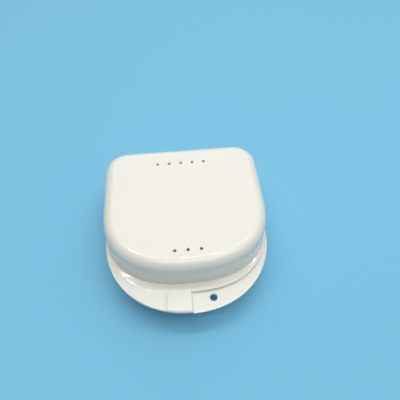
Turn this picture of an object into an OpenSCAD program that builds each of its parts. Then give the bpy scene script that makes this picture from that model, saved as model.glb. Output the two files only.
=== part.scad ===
// Hinged pocket case for a denture or a retainer: a D shaped bowl with a locating lip,
// a domed lid with two rows of vent holes, and two hinge pins along the straight back.
// The lid's thumb tab fills the left half of the front and the bowl's tab the right half.
// Millimetres. The foot stands on z = 0, the tabs point to -Y and the hinge to +Y.

/* [Case] */
// Width across the straight sides
case_w = 75; // [68:0.5:82]
// Reach of the rounded front, from the shoulder line to the front wall
front_reach = 34.6; // [32:0.2:40]
// Length of each straight side, from the shoulder line to the back corner
side_len = 23.2; // [19:0.1:29]
// Radius of the two back corners
corner_r = 11.4; // [10:0.1:13]
// Fullness of the rounded front: 2 is an ellipse, more is squarer
front_fullness = 2.44; // [2.2:0.01:2.6]
// Height of the closed case
total_h = 29; // [27:0.5:34]
// Height of the plane where lid and bowl part
seam_z = 13; // [11:0.5:15]
// Gap between lid and bowl at that plane
seam_gap = 0.2; // [0.1:0.05:0.3]
// Thickness of the lid's and the bowl's walls
wall_t = 1.6; // [1.3:0.1:2]
// Inward lean of every wall, as run over rise
draft = 0.03; // [0.01:0.005:0.04]

/* [Lid] */
// Thickness of the lid's flat top
top_t = 1.6; // [1.2:0.1:2.2]
// Radius of the round between the flat top and the wall
top_round = 5.1; // [4:0.1:6]
// Radius of a vent hole
vent_r = 0.62; // [0.4:0.02:0.9]
// Distance between neighbouring vent holes
vent_pitch = 5.6; // [4:0.1:6.4]
// Vent holes in the row near the hinge
back_vents = 5; // [3:1:7]
// Vent holes in the row near the tabs
front_vents = 3; // [1:1:5]
// Distance of the hinge side row from the back wall
back_vent_in = 11.4; // [9:0.2:15]
// Distance of the tab side row from the front wall
front_vent_in = 8.6; // [7:0.2:12]

/* [Bowl] */
// Thickness of the bowl's floor
floor_t = 1.6; // [1.2:0.1:2.2]
// Radius of the round between the foot and the bowl's wall
foot_round = 3.6; // [3:0.1:4.5]
// Width of the ring foot
foot_w = 2; // [1.5:0.1:3]
// Depth of the recess inside the ring foot
foot_recess = 0.7; // [0.4:0.1:1]
// Radius of the round between the floor and the inside wall
bowl_round = 2.6; // [2:0.1:3.5]
// Height of the locating lip above the bowl's edge
lip_h = 1.7; // [1.2:0.1:2.2]
// Thickness of the locating lip
lip_t = 1; // [0.8:0.1:1.3]
// Clearance between the lip and the inside of the lid
lip_gap = 0.25; // [0.15:0.05:0.35]

/* [Rim and tabs] */
// Width of the narrow rim at the middle of the front
rim_w = 3.6; // [2.8:0.1:4.2]
// Fullness of the narrow rim's outer curve
rim_fullness = 2.55; // [2.45:0.01:2.7]
// Thickness of the lid's rim and tab
lid_rim_t = 1.4; // [1.2:0.1:1.8]
// Thickness of the bowl's rim and tab
bowl_rim_t = 1.6; // [1.2:0.1:2]
// Rise of the lid's rim from its edge to the wall
rim_rise = 0.6; // [0.2:0.1:0.9]
// Size of the blend where the lid's wall meets its rim
root_blend = 1.2; // [0.8:0.1:1.6]
// Size of the small chamfer along the edges of rims and tabs
edge_t = 0.3; // [0.2:0.05:0.4]
// Size of the bevel under the edge of the bowl's rim and tab
under_t = 1; // [0.4:0.1:1.2]
// Distance of the tab curve's centre in front of the shoulder line
tab_back = 9; // [7:0.5:11]
// Reach of the tab curve from its centre
tab_reach = 38.2; // [37:0.2:40]
// Fullness of the tab curve
tab_fullness = 2.12; // [2:0.01:2.25]
// Depth of the bead under the edge of the lid's tab
bead_h = 0.7; // [0.4:0.1:1]
// Width of that bead
bead_w = 1.4; // [1:0.1:1.8]
// Gap between the end of that bead and the bowl's tab
tab_gap = 0.5; // [0.3:0.1:1]
// Radius of the lanyard hole in the bowl's tab
lanyard_r = 1.6; // [1.2:0.1:2]
// Distance of the lanyard hole from the centre line
lanyard_x = 9.3; // [7:0.1:14]
// Distance of the lanyard hole from the front wall
lanyard_out = 6.3; // [5.4:0.1:7]

/* [Catch] */
// Width of the raised pad at the end of the lid's tab
pad_w = 11.5; // [9:0.5:14]
// Depth of the pad from its back edge to its front
pad_d = 9.3; // [8:0.1:10]
// Distance of the pad's back edge from the front wall
pad_out = 3.2; // [2.6:0.1:3.8]
// Height of the pad at its back edge
pad_h = 0.6; // [0.4:0.05:0.8]
// Height of the pad where it runs out at the front
pad_front_h = 0.15; // [0.1:0.05:0.3]
// Depth of the catch pocket under the pad
pocket_depth = 1; // [0.7:0.1:1.1]
// Front to back size of the pocket
pocket_d = 2.6; // [2:0.1:3]
// Plastic left between the pocket and each end of the pad
pocket_wall = 1.5; // [1:0.1:2.5]
// Clearance between the catch nub and the pocket
catch_gap = 0.2; // [0.1:0.05:0.3]

/* [Hinge] */
// Distance of each hinge's middle from the centre line
hinge_x = 16; // [13:0.5:18]
// Width of the lid's knuckle
lid_knuckle_w = 6; // [4:0.5:8]
// Width of each of the bowl's knuckles
bowl_knuckle_w = 3.5; // [2.5:0.5:4]
// Side clearance between neighbouring knuckles
knuckle_gap = 0.3; // [0.2:0.05:0.4]
// Outer radius of the knuckles
knuckle_r = 2.6; // [2.3:0.1:3]
// Distance of the hinge axis behind the back wall
axis_out = 3.2; // [3:0.1:3.8]
// Radius of the hinge pins
pin_r = 1; // [0.8:0.05:1.2]
// Running clearance of a pin in the lid's knuckle
pin_run = 0.05; // [0.02:0.01:0.08]
// Squeeze of a pin in the bowl's knuckles
pin_press = 0.01; // [0.005:0.005:0.02]
// Depth of each pin end below the knuckle's face
pin_sink = 0.3; // [0.1:0.05:0.5]
// Chamfer on each pin end
pin_chamfer = 0.2; // [0.1:0.05:0.3]
// Angle where the heel of the lid's knuckle meets the back wall
open_angle = 118; // [105:1:125]
// Gap left between heel and wall when the lid is fully open
stop_gap = 0.15; // [0.1:0.05:0.3]

/* [Hidden] */
$fn = 48;
// Steps along the rounded front, round each back corner and round each fillet
front_n = 48;
corner_n = 10;
round_n = 8;
// Two points nearer than this are one point
tiny = 0.0001;
// Knuckles reach this far into the walls, and cutters reach this far past what they cut
sink = wall_t / 2;
cut = 1;

half_w = case_w / 2;
lid_z = seam_z + seam_gap / 2;
bowl_z = seam_z - seam_gap / 2;
rim_z = lid_z + lid_rim_t;
floor_z = foot_recess + floor_t;
back_y = side_len + corner_r;
front_y = -front_reach;

// The lip stands inside the lid's wall, on a thicker band round the top of the bowl
lip_out = -wall_t - lip_gap;
lip_in = lip_out - lip_t;

// How far the opened heel hangs down, and how far it sticks out behind at rest
heel_l = axis_out - stop_gap;
heel_back = -heel_l * cos(open_angle) + knuckle_r * sin(open_angle);

// The shoulder line's place, so that the whole case is centred on Y
hinge_y = back_y + axis_out;
shoulder_y = (tab_back + tab_reach - hinge_y - heel_back) / 2;
web_angle = 65;

// Power that keeps the sign
function spow(v, e) = sign(v) * pow(abs(v), e);
function unit(v) = v / norm(v);

// Point and outward normal on the rounded front
function front_point(s) = [
    half_w * spow(cos(s), 2 / front_fullness),
    front_reach * spow(sin(s), 2 / front_fullness)
];
function front_normal(s) = unit([
    spow(cos(s), 2 - 2 / front_fullness) / half_w,
    spow(sin(s), 2 - 2 / front_fullness) / front_reach
]);
// Point and normal on a back corner: side is 1 on the right and -1 on the left
function corner_point(a, side) = [
    side * (half_w - corner_r) + corner_r * cos(a),
    side_len + corner_r * sin(a)
];

// The rounded front from the left shoulder to the right one, as pairs of point and normal,
// with one more step just right of the middle, where the lid's tab ends and the bowl's begins
mid_n = front_n / 2;
step_w = 0.1;
front_line = [
    for (i = [0:front_n])
        let (s = -180 + 180 * i / front_n, p = [front_point(s), front_normal(s)])
        each i == mid_n ? [p, [p[0] + [step_w, 0], p[1]]] : [p]
];
last = front_n + 1;

// The D outline, anticlockwise from the left shoulder
outline = concat(
    front_line,
    [for (i = [0:corner_n]) let (a = 90 * i / corner_n) [corner_point(a, 1), [cos(a), sin(a)]]],
    [for (i = [0:corner_n]) let (a = 90 + 90 * i / corner_n) [corner_point(a, -1), [cos(a), sin(a)]]]
);
outline_n = len(outline);

// Point of outline step i at a distance out from the wall's face, and at height z
function off_point(i, out) = outline[i][0] + out * outline[i][1];
function at_height(p, z) = [p.x, p.y, z];

// Profile point k of outline step i: a profile entry is a pair of distance and height, or
// a list of such pairs with one for each step
function profile_point(entry, i) =
    let (p = is_list(entry[0]) ? entry[i] : entry)
    at_height(off_point(i, p.x), p.y);

// Faces of a four sided patch, less those whose corners have run together
function patch(points, a, b, c, d) = [
    for (t = [[a, c, b], [a, d, c]])
        let (p = points[t.x], q = points[t.y], r = points[t.z])
        if (norm(p - q) > tiny && norm(q - r) > tiny && norm(r - p) > tiny) t
];

// Shell swept round the outline: the profile runs from the middle of its lower face,
// along the outside of the material on its right, to the middle of its upper face
module shell(profile) {
    n = outline_n;
    top = (len(profile) - 1) * n;
    points = [for (entry = profile) for (i = [0:n - 1]) profile_point(entry, i)];
    sides = [
        for (k = [0:len(profile) - 2])
            for (i = [0:n - 1])
                let (a = k * n + i, b = k * n + (i + 1) % n)
                each patch(points, a, b, b + n, a + n)
    ];
    lower = [for (i = [0:n - 1]) i];
    upper = [for (i = [0:n - 1]) top + n - 1 - i];
    polyhedron(points, concat(sides, [lower, upper]));
}

// Arc of a profile, from angle a to angle b
function arc(centre, r, a, b, n = round_n) = [
    for (i = [0:n])
        let (t = a + (b - a) * i / n)
        centre + r * [cos(t), sin(t)]
];

// A curve in front of the shoulder line: its half width is the case's, its centre
// lies back in front of the shoulder line, and it reaches to reach from there
function inside_curve(q, reach, fullness, back) =
    pow(abs(q.x) / half_w, fullness) + pow(max(-q.y - back, 0) / reach, fullness) < 1;

// Distance from outline point o, along its normal, to that curve, found by halving
reach_limit = 20;
halvings = 26;
function reach_to(o, reach, fullness, back, low = 0, high = reach_limit, steps = halvings) =
    let (mid = (low + high) / 2)
    steps == 0 ? mid
    : inside_curve(o[0] + mid * o[1], reach, fullness, back)
        ? reach_to(o, reach, fullness, back, mid, high, steps - 1)
        : reach_to(o, reach, fullness, back, low, mid, steps - 1);

// Reach of rim and tabs at every outline step, none where they have run into the wall
least_reach = 0.2;
function reach_or_none(i, reach, fullness, back) =
    let (r = i > last ? 0 : reach_to(outline[i], reach, fullness, back))
    r < least_reach ? 0 : r;
rim_at = [for (i = [0:outline_n - 1]) reach_or_none(i, front_reach + rim_w, rim_fullness, 0)];
tab_at = [for (i = [0:outline_n - 1]) reach_or_none(i, tab_reach, tab_fullness, tab_back)];
lid_reach = [for (i = [0:outline_n - 1]) i <= mid_n ? tab_at[i] : rim_at[i]];
bowl_reach = [for (i = [0:outline_n - 1]) i <= mid_n ? rim_at[i] : tab_at[i]];

// Face of the lid's and the bowl's wall at height z
function lid_wall(z) = -draft * (z - lid_z);
function bowl_wall(z) = -draft * (bowl_z - z);

// The bowl's edge at reach r, from below
function bowl_edge(r) =
    let (
        e = min(edge_t, r / 2),
        under = min(under_t, r / 2, bowl_rim_t - 2 * edge_t),
        low = bowl_z - bowl_rim_t,
        wall = bowl_wall(low)
    )
    r == 0 ? [[wall, low], [wall, low], [wall, low], [0, bowl_z], [0, bowl_z]]
    : [[wall, low], [r - under, low], [r, low + under], [r, bowl_z - e], [r - e, bowl_z]];

// Largest share of a reach that the rim's slope takes, largest share of that slope that
// the blend takes, and how far the middle of the blend stays out of its corner
slope_share = 0.8;
blend_share = 0.45;
blend_fill = 0.3;

// The lid's edge at reach r, from below: its top is level as far in as the rim, then
// rises and blends into the wall
function lid_edge(r, rim) =
    let (
        e = min(edge_t, r / 2),
        flat = min(max(rim, least_reach), slope_share * (r - e)),
        blend = min(root_blend, blend_share * flat),
        foot = rim_z + rim_rise * min(1, rim / rim_w),
        wall = lid_wall(rim_z)
    )
    r == 0 ? [for (j = [0:6]) j < 2 ? [0, lid_z] : [wall, rim_z]]
    : [
        [r - e, lid_z], [r, lid_z + e], [r, rim_z - e], [r - e, rim_z], [flat, rim_z],
        [blend, foot], [blend_fill * blend, foot + blend_fill * blend]
    ];

// Turns a list with one outline of pairs for each step into profile entries
function entries(edges) = [for (j = [0:len(edges[0]) - 1]) [for (e = edges) e[j]]];

// Bead under the edge of the lid's tab, wherever the tab is well clear of the bowl's rim
module bead() {
    out = edge_t * 3 / 2;
    inset = out + bead_w;
    steps = [for (i = [0:mid_n]) if (tab_at[i] - inset > rim_at[i] + 2 * seam_gap) i];
    translate([0, 0, lid_z - bead_h])
        linear_extrude(bead_h + lid_rim_t / 2)
            intersection() {
                polygon(concat(
                    [for (i = steps) tab_point(i, out)],
                    [for (j = [len(steps) - 1:-1:0]) tab_point(steps[j], inset)]
                ));
                translate([-half_w - tab_gap, front_y - front_reach])
                    square([half_w, front_reach]);
            }
}

// Point a third of a step past step i, at a distance in from the tab's edge
function tab_point(i, inset) =
    (2 * off_point(i, tab_at[i] - inset) + off_point(i + 1, tab_at[i + 1] - inset)) / 3;

// Profile of the lid's dome: ceiling, inside wall, edge, outside wall, flat top
dome_profile = let (
    wall_h = total_h - top_round - lid_z,
    out = -draft * wall_h,
    blend_z = rim_z + rim_rise + root_blend,
    in_r = top_round - wall_t,
    ceiling = total_h - top_t
) concat(
    arc([out - wall_t - in_r, ceiling - in_r], in_r, 90, 0),
    [[-wall_t, lid_z]],
    entries([for (i = [0:outline_n - 1]) lid_edge(lid_reach[i], rim_at[i])]),
    [[lid_wall(blend_z), blend_z]],
    arc([out - top_round, total_h - top_round], top_round, 0, 90)
);

// Profile of the bowl: recessed floor, ring foot, outside wall, edge, lip, inside
bowl_profile = let (
    foot_x = -draft * (bowl_z - foot_round) - foot_round,
    foot_in = foot_x - foot_w,
    lip_top = bowl_z + lip_h,
    ease = edge_t,
    ledge_z = bowl_z - lip_t,
    band_in = -wall_t - draft * (lip_t + lip_gap + lip_t),
    step = band_in - lip_in,
    in_x = -wall_t - draft * (bowl_z - floor_z - bowl_round) - bowl_round
) concat(
    [[foot_in - foot_recess, foot_recess], [foot_in, 0]],
    arc([foot_x, foot_round], foot_round, -90, 0),
    entries([for (r = bowl_reach) bowl_edge(r)]),
    [
        [lip_out, bowl_z], [lip_out, lip_top - ease], [lip_out - ease, lip_top],
        [lip_in + ease, lip_top], [lip_in, lip_top - ease], [lip_in, ledge_z],
        [band_in, ledge_z - step]
    ],
    arc([in_x, floor_z + bowl_round], bowl_round, 0, -90)
);

// Outline of a knuckle seen along the hinge axis, with a web that leaves it almost at a
// tangent for the wall: up is 1 for the lid's web and -1 for the bowl's
module knuckle_outline(up, clear) {
    r = knuckle_r - edge_t / 2;
    run = r * cos(web_angle) + axis_out + sink;
    foot = r * sin(web_angle) + run * cos(web_angle) / sin(web_angle);
    circle(knuckle_r);
    polygon([
        [0, up * clear], [r * cos(web_angle), up * r * sin(web_angle)],
        [-axis_out - sink, up * foot], [-axis_out - sink, up * clear]
    ]);
}

// Places a side view outline on the hinge axis and gives it a width about x
module on_axis(x, w) {
    translate([x - w / 2, hinge_y, seam_z])
        rotate([90, 0, 90])
            linear_extrude(w)
                children();
}

// Heel that meets the bowl's back wall when the lid is open
module heel_outline() {
    rotate(open_angle)
        translate([-heel_l, -knuckle_r])
            square([heel_l, knuckle_r - stop_gap]);
}

module lid_knuckle(x) {
    difference() {
        union() {
            on_axis(x, lid_knuckle_w) knuckle_outline(1, seam_gap / 2);
            on_axis(x, lid_knuckle_w) heel_outline();
        }
        on_axis(x, lid_knuckle_w + 2 * cut) circle(pin_r + pin_run);
    }
}

module bowl_knuckles(x) {
    for (side = [-1, 1]) {
        at = x + side * (lid_knuckle_w / 2 + knuckle_gap + bowl_knuckle_w / 2);
        difference() {
            on_axis(at, bowl_knuckle_w) knuckle_outline(-1, seam_gap / 2);
            on_axis(at, bowl_knuckle_w + 2 * cut) circle(pin_r - pin_press);
        }
    }
}

// Pin with chamfered ends, flush but for its sink in the bowl's outer knuckle faces
module pin(x) {
    l = lid_knuckle_w + 2 * (knuckle_gap + bowl_knuckle_w - pin_sink);
    translate([x - l / 2, hinge_y, seam_z])
        rotate([0, 90, 0])
            rotate_extrude()
                polygon([
                    [0, 0], [pin_r - pin_chamfer, 0], [pin_r, pin_chamfer],
                    [pin_r, l - pin_chamfer], [pin_r - pin_chamfer, l], [0, l]
                ]);
}

// Catch: the pad on the lid's tab, the pocket under it and the bowl's nub
pad_y = front_y - pad_out;
pad_in = 1.2 * edge_t;
pocket_y = pad_y - edge_t * 2 - pocket_d / 2;
pocket_w = pad_w - 2 * pocket_wall;
nub_w = pocket_w - 2 * catch_gap;
nub_d = pocket_d - 2 * catch_gap;
nub_h = lid_z + pocket_depth - catch_gap - bowl_z;

module pad() {
    intersection() {
        translate([0, 0, rim_z - edge_t])
            linear_extrude(pad_h + edge_t)
                intersection() {
                    translate([-pad_w, pad_y - pad_d]) square([pad_w, pad_d]);
                    polygon(concat(
                        [for (i = [0:mid_n]) tab_point(i, pad_in)],
                        [[0, 0], [-half_w, 0]]
                    ));
                }
        translate([-pad_w, pad_y, rim_z])
            rotate([90, 0, 90])
                linear_extrude(pad_w)
                    polygon([
                        [0, -edge_t], [0, pad_h / 2], [-pad_h / 2, pad_h],
                        [-pad_d, pad_front_h], [-pad_d, -edge_t]
                    ]);
        translate([0, pad_y, rim_z])
            rotate([90, 0, 0])
                linear_extrude(pad_d)
                    polygon([
                        [-pad_w, -edge_t], [-pad_w, 0], [-pad_w + 2 * pad_h, pad_h],
                        [-pad_h / 2, pad_h], [0, pad_h / 2], [0, -edge_t]
                    ]);
    }
}

module pocket() {
    translate([-pad_w / 2 - pocket_w / 2, pocket_y - pocket_d / 2, lid_z - cut])
        cube([pocket_w, pocket_d, pocket_depth + cut]);
}

// Tongue of the bowl's rim below the pad, with the nub that enters the pocket
module catch_tongue() {
    tongue_front = pocket_y - pocket_d / 2 - edge_t;
    translate([-pad_w / 2 - pocket_w / 2 - edge_t, tongue_front, bowl_z - bowl_rim_t])
        cube([pad_w / 2 + pocket_w / 2 + 2 * edge_t, front_y - tongue_front, bowl_rim_t]);
    translate([-pad_w / 2 - nub_w / 2, pocket_y, bowl_z - edge_t])
        rotate([90, 0, 90])
            linear_extrude(nub_w)
                polygon([
                    [-nub_d / 2, 0], [nub_d / 2, 0], [nub_d / 2, nub_h / 2 + edge_t],
                    [nub_d / 4, nub_h + edge_t], [-nub_d / 4, nub_h + edge_t],
                    [-nub_d / 2, nub_h / 2 + edge_t]
                ]);
}

// Row of holes through the lid's top, centred on x
module vent_row(count, y) {
    for (i = [0:count - 1])
        translate([(i - (count - 1) / 2) * vent_pitch, y, total_h - top_t - cut])
            cylinder(r = vent_r, h = top_t + 2 * cut);
}

module base() {
    color("whitesmoke")
        translate([0, shoulder_y, 0])
            difference() {
                union() {
                    shell(bowl_profile);
                    catch_tongue();
                    bowl_knuckles(-hinge_x);
                    bowl_knuckles(hinge_x);
                }
                translate([lanyard_x, front_y - lanyard_out, bowl_z - bowl_rim_t - cut])
                    cylinder(r = lanyard_r, h = bowl_rim_t + 2 * cut);
            }
}

module lid() {
    color("ivory")
        translate([0, shoulder_y, 0])
            difference() {
                union() {
                    shell(dome_profile);
                    bead();
                    pad();
                    lid_knuckle(-hinge_x);
                    lid_knuckle(hinge_x);
                }
                pocket();
                vent_row(back_vents, back_y - back_vent_in);
                vent_row(front_vents, front_y + front_vent_in);
            }
}

module hinge_pin_left() {
    color("silver") translate([0, shoulder_y, 0]) pin(-hinge_x);
}

module hinge_pin_right() {
    color("silver") translate([0, shoulder_y, 0]) pin(hinge_x);
}

base();
lid();
hinge_pin_left();
hinge_pin_right();
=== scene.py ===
"""Looks of a hinged D shaped pocket case in gloss plastic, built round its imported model.

The case's lengths are in millimetres, those of finishes and studio in metres. A finished
piece is in metres too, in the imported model's frame: foot on z = 0, tabs towards -Y.
"""

from __future__ import annotations

import logging
import math
from dataclasses import dataclass, field
from enum import Enum
from typing import Any, Iterable, Sequence

import bmesh
import bpy
from mathutils import Matrix, Vector

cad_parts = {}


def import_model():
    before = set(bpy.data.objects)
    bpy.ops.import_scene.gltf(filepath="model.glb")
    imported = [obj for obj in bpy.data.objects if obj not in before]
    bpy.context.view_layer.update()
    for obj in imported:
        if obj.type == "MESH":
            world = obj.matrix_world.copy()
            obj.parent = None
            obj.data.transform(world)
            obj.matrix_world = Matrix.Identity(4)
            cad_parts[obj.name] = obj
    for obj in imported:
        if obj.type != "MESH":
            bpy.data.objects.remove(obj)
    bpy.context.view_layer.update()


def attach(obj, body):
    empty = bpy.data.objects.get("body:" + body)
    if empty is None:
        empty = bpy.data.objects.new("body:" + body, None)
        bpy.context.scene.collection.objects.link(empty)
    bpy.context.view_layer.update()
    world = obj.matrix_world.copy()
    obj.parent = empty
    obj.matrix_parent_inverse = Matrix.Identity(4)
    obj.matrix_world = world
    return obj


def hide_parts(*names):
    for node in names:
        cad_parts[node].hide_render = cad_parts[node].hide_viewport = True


LOG = logging.getLogger("case")
MM = 0.001

Pair = tuple[float, float]
Triple = tuple[float, float, float]
BMEdge = bmesh.types.BMEdge
BMesh = bmesh.types.BMesh
BMVert = bmesh.types.BMVert
Piece = bpy.types.Object

# Chords in a rounded edge and in a softened corner, and points in the lid's bead and rise
ROUND_STEPS = 4
SOFT_STEPS = 3
BEAD_POINTS = 8
RISE_POINTS = 13
# A round of three points has its middle one this share of the radius in from both sides
MIDWAY = 0.3
# Chords in a drilled hole and round a knuckle's barrel
HOLE_STEPS = 40
# Corners closer than this are merged
MERGE = 0.0004
# Sweeps are capped this far inside their last ring, so that the cap's shading stays flat
CAP_IN = 0.5
# Edges sharper than this stay crisp, in degrees
CREASE = 35.0
# Faces whose normal is this upright count as level, and this near a cut is on it
LEVEL = 0.999
ON_CUT = 0.0001
# Sines and cosines below this count as zero
TINY = 1e-9


# Finishes


class Mask:
    """A shader value that can be used in Python expressions."""

    def __init__(self, finish: Finish, socket: Any) -> None:
        """Keep the socket and the finish whose node tree it is in."""
        self.finish = finish
        self.socket = socket

    def _maths(self, operation: str, *values: Any) -> Mask:
        """Add a Math node on values that are Masks or numbers."""
        sockets = dict(enumerate(values))
        return self.finish.node("ShaderNodeMath", {"operation": operation}, sockets)

    def __add__(self, other: Any) -> Mask:
        """Sum with a Mask or a number."""
        return self._maths("ADD", self, other)

    def __radd__(self, other: Any) -> Mask:
        """Sum with a number on the left."""
        return self._maths("ADD", other, self)

    def __sub__(self, other: Any) -> Mask:
        """Difference from a Mask or a number."""
        return self._maths("SUBTRACT", self, other)

    def __rsub__(self, other: Any) -> Mask:
        """Difference with a number on the left."""
        return self._maths("SUBTRACT", other, self)

    def __mul__(self, other: Any) -> Mask:
        """Product with a Mask or a number."""
        return self._maths("MULTIPLY", self, other)

    def __rmul__(self, other: Any) -> Mask:
        """Product with a number on the left."""
        return self._maths("MULTIPLY", other, self)

    def between(self, low: float, high: float) -> Mask:
        """Scale so that low becomes 0 and high becomes 1, held inside 0 to 1."""
        sockets = {"Value": self, "From Min": low, "From Max": high}
        return self.finish.node("ShaderNodeMapRange", {"clamp": True}, sockets)


def rgba(colour: Sequence[float], factor: float = 1.0) -> tuple[float, ...]:
    """A colour times a factor, held below 1, with full alpha."""
    return tuple(min(1.0, c * factor) for c in colour) + (1.0,)


@dataclass(frozen=True)
class Layer:
    """A noise: cells per metre, octaves, stretch along each axis, and its ends of 0 and 1."""

    scale: float
    detail: float
    stretch: Triple = (1, 1, 1)
    ends: Pair | None = None


@dataclass(frozen=True)
class Finish:
    """Base of every finish: makes a node material and fills its tree."""

    name: str

    def node(
        self,
        kind: str,
        settings: dict[str, Any] | None = None,
        sockets: dict[Any, Any] | None = None,
        output: Any = 0,
    ) -> Mask:
        """Add one node.

        Args:
            kind: The node's type.
            settings: Its settings, set first.
            sockets: Value or link of each input, by name or number.
            output: The output to hand back, by name or number.

        Returns:
            The chosen output.
        """
        tree = bpy.data.materials[self.name].node_tree
        made = tree.nodes.new(kind)
        for key, value in (settings or {}).items():
            setattr(made, key, value)
        for key, value in (sockets or {}).items():
            if isinstance(value, Mask):
                tree.links.new(value.socket, made.inputs[key])
            else:
                made.inputs[key].default_value = value
        return Mask(self, made.outputs[output] if len(made.outputs) else None)

    def material(self) -> bpy.types.Material:
        """The finish's material, made on first use.

        Returns:
            The material.
        """
        found = bpy.data.materials.get(self.name)
        if found:
            return found
        made = bpy.data.materials.new(self.name)
        made.use_nodes = True
        made.node_tree.nodes.clear()
        surface = self.surface()
        self.node("ShaderNodeOutputMaterial", {}, {"Surface": surface})
        return made

    def surface(self) -> Mask:
        """Build the shader and return its output."""
        raise NotImplementedError

    def noise(self, layer: Layer) -> Mask:
        """A layer of noise over the object.

        Args:
            layer: The layer.

        Returns:
            The noise, scaled where the layer gives its ends.
        """
        place = self.node("ShaderNodeTexCoord", output="Object")
        turned = self.node("ShaderNodeMapping", {}, {"Vector": place, "Scale": layer.stretch})
        sockets = {"Vector": turned, "Scale": layer.scale, "Detail": layer.detail}
        made = self.node("ShaderNodeTexNoise", {}, sockets)
        return made.between(*layer.ends) if layer.ends else made

    def mix(self, factor: Any, first: Any, second: Any) -> Mask:
        """Mix two colours, each a Mask or an RGBA colour; the factor is the second's share."""
        sockets = {0: factor, 6: first, 7: second}
        return self.node("ShaderNodeMix", {"data_type": "RGBA"}, sockets, output=2)

    def relief(self, strength: float, distance: float, height: Mask) -> Mask:
        """Bump from a height that rises by a distance in metres."""
        sockets = {"Strength": strength, "Distance": distance, "Height": height}
        return self.node("ShaderNodeBump", {}, sockets)

    def principled(self, colour: Any, roughness: Any, **others: Any) -> Mask:
        """A Principled shader.

        Args:
            colour: Its colour, a Mask or RGBA.
            roughness: Its roughness, a Mask or a number.
            others: Its other sockets by name, with _ for a space.

        Returns:
            The shader.
        """
        sockets = {"Base Color": colour, "Roughness": roughness}
        sockets |= {key.replace("_", " "): value for key, value in others.items()}
        return self.node("ShaderNodeBsdfPrincipled", {}, sockets)


@dataclass(frozen=True)
class GlossPlastic(Finish):
    """Warm white moulded plastic with a gloss skin, faint flow marks and handling wear."""

    colour: Triple = (0.84, 0.82, 0.74)
    lift: float = 1.03
    worn: Triple = (0.74, 0.72, 0.66)
    roughness: float = 0.11
    ior: float = 1.49
    coat: float = 0.25
    coat_roughness: float = 0.06
    depth: float = 0.2
    depth_reach: float = 0.002
    depth_radius: Triple = (0.6, 0.55, 0.45)
    bump: float = 0.06
    bump_height: float = 0.0001
    flow: Layer = Layer(38.0, 3, (1, 1, 2.5))
    cloud: Layer = Layer(14.0, 2, ends=(0.3, 0.7))
    scuff: Layer = Layer(900.0, 5, (1, 6, 1), (0.60, 0.72))
    patch: Layer = Layer(60.0, 2, ends=(0.5, 0.75))
    peel: Layer = Layer(260.0, 2)
    edge_ends: Pair = (0.52, 0.60)
    scratch_wear: float = 0.25
    edge_wear: float = 0.12
    foot_wear: bool = False
    foot_ends: Pair = (0.0001, 0.0009)
    foot_least: float = 0.35
    foot_patch: float = 0.4
    flow_dull: float = 0.05
    worn_dull: float = 0.16
    scratch_relief: float = 0.08

    def _wear(self, scratches: Mask, patch: Mask) -> Mask:
        """How worn the plastic is: scratches, edges and, on request, the foot.

        Args:
            scratches: Mask of the fine scratches.
            patch: Mask of the patches that are handled most.

        Returns:
            The wear, 0 where there is none.
        """
        edge = self.node("ShaderNodeNewGeometry", output="Pointiness").between(*self.edge_ends)
        worn = scratches * self.scratch_wear + edge * self.edge_wear
        if not self.foot_wear:
            return worn
        place = self.node("ShaderNodeTexCoord", output="Object")
        height = self.node("ShaderNodeSeparateXYZ", {}, {"Vector": place}, output="Z")
        low = 1 - height.between(*self.foot_ends)
        return worn + low * (self.foot_least + self.foot_patch * patch)

    def surface(self) -> Mask:
        """Build the shader and return its output.

        Returns:
            The shader.
        """
        flow, cloud = self.noise(self.flow), self.noise(self.cloud)
        scuff, patch = self.noise(self.scuff), self.noise(self.patch)
        peel = self.noise(self.peel)
        scratches = scuff * patch
        worn = self._wear(scratches, patch)
        base = self.mix(cloud, rgba(self.colour), rgba(self.colour, self.lift))
        height = peel * 0.5 + flow * 0.5 + scratches * self.scratch_relief
        return self.principled(
            self.mix(worn, base, rgba(self.worn)),
            self.roughness + self.flow_dull * (flow - 0.5) + self.worn_dull * worn,
            Normal=self.relief(self.bump, self.bump_height, height),
            IOR=self.ior,
            Subsurface_Weight=self.depth,
            Subsurface_Radius=self.depth_radius,
            Subsurface_Scale=self.depth_reach,
            Coat_Weight=self.coat,
            Coat_Roughness=self.coat_roughness,
        )


@dataclass(frozen=True)
class DrawnSteel(Finish):
    """Bright drawn wire with fine lines along its length."""

    colour: Triple = (0.58, 0.585, 0.59)
    dark: float = 0.7
    roughness: float = 0.24
    bump: float = 0.2
    bump_height: float = 0.00003
    lines: Layer = Layer(2600.0, 4, (0.03, 1, 1))
    stain: Layer = Layer(300.0, 3, ends=(0.45, 0.8))
    line_dull: float = 0.16
    stain_dull: float = 0.1

    def surface(self) -> Mask:
        """Build the shader and return its output.

        Returns:
            The shader.
        """
        lines, stain = self.noise(self.lines), self.noise(self.stain)
        colour = self.mix(stain * 0.5, rgba(self.colour), rgba(self.colour, self.dark))
        roughness = self.roughness + self.line_dull * lines + self.stain_dull * stain
        bump = self.relief(self.bump, self.bump_height, lines)
        return self.principled(colour, roughness, Metallic=1.0, Normal=bump)


@dataclass(frozen=True)
class PaperFloor(Finish):
    """Plain pale blue paper under the case."""

    colour: Triple = (0.21, 0.54, 0.76)
    dark: float = 0.97
    roughness: float = 0.75
    specular: float = 0.2
    grain: Layer = Layer(1400.0, 3)
    grain_dull: float = 0.1

    def surface(self) -> Mask:
        """Build the shader and return its output.

        Returns:
            The shader.
        """
        grain = self.noise(self.grain)
        colour = self.mix(grain, rgba(self.colour), rgba(self.colour, self.dark))
        roughness = self.roughness + self.grain_dull * grain
        return self.principled(colour, roughness, Specular_IOR_Level=self.specular)


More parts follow.
